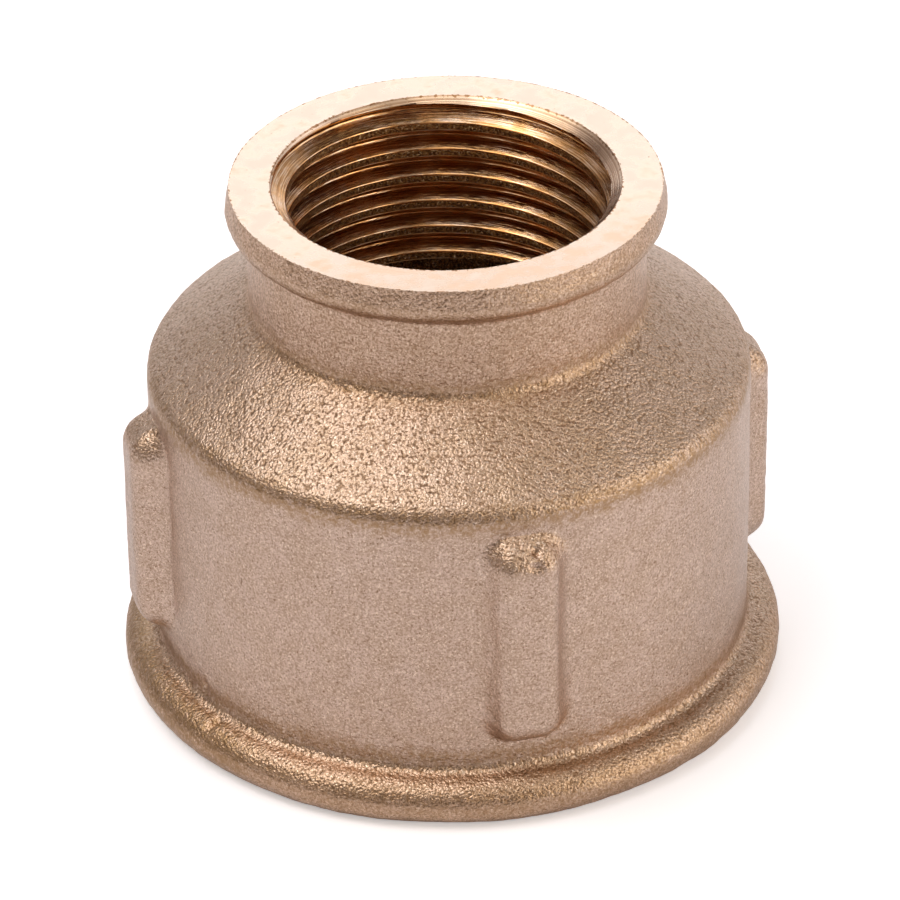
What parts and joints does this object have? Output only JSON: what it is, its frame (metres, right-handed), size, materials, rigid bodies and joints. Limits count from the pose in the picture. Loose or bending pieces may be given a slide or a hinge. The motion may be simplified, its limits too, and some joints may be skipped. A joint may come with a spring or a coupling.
{
  "type": "reducing coupling",
  "caption": "Cast bronze pipe reducing coupling: a ribbed socket with a female thread at each end, wide at the base and stepped down by a cone to a narrow beaded neck.",
  "frame": {"origin": "centre of the large end's machined face, on the bore axis", "axes": "+Z along the bore axis, from the large end to the small end; +X and +Y through two of the four grip ribs"},
  "size_m": [0.0406, 0.0406, 0.033],
  "materials": {
    "bronze": "sand-cast satin bronze, bright where it is machined"
  },
  "bodies": {
    "root": {"coupling_body": "bronze"}
  },
  "joints": []
}
